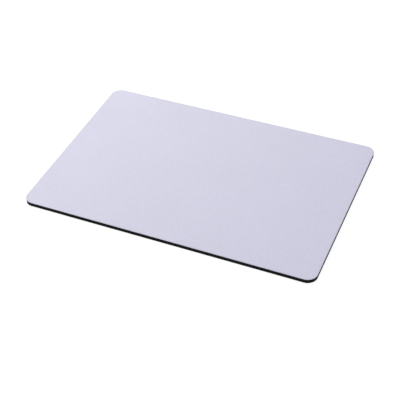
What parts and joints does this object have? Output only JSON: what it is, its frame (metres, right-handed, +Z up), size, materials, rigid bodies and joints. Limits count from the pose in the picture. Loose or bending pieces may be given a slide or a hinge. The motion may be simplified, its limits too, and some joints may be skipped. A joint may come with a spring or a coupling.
{
  "type": "mouse pad",
  "caption": "Thin rectangular mouse pad with rounded corners: a knitted cloth face bonded to a black foamed-rubber base that grips the desk.",
  "frame": {"origin": "centre of the underside, on the surface that the pad lies on", "axes": "+X along the long sides, +Y along the short sides, +Z up, out of the cloth face"},
  "size_m": [0.25, 0.17, 0.0039],
  "materials": {
    "foam_rubber": "matt black foamed rubber, with open cells on the cut wall and a pressed grip pattern underneath",
    "adhesive": "thin clear hot-melt film, dark because the black rubber shows through it",
    "knitted_cloth": "fine polyester knit, pale lavender grey, matt with a faint sheen"
  },
  "bodies": {
    "root": {"rubber_base": "foam_rubber", "adhesive_film": "adhesive", "cloth_face": "knitted_cloth"}
  },
  "joints": []
}
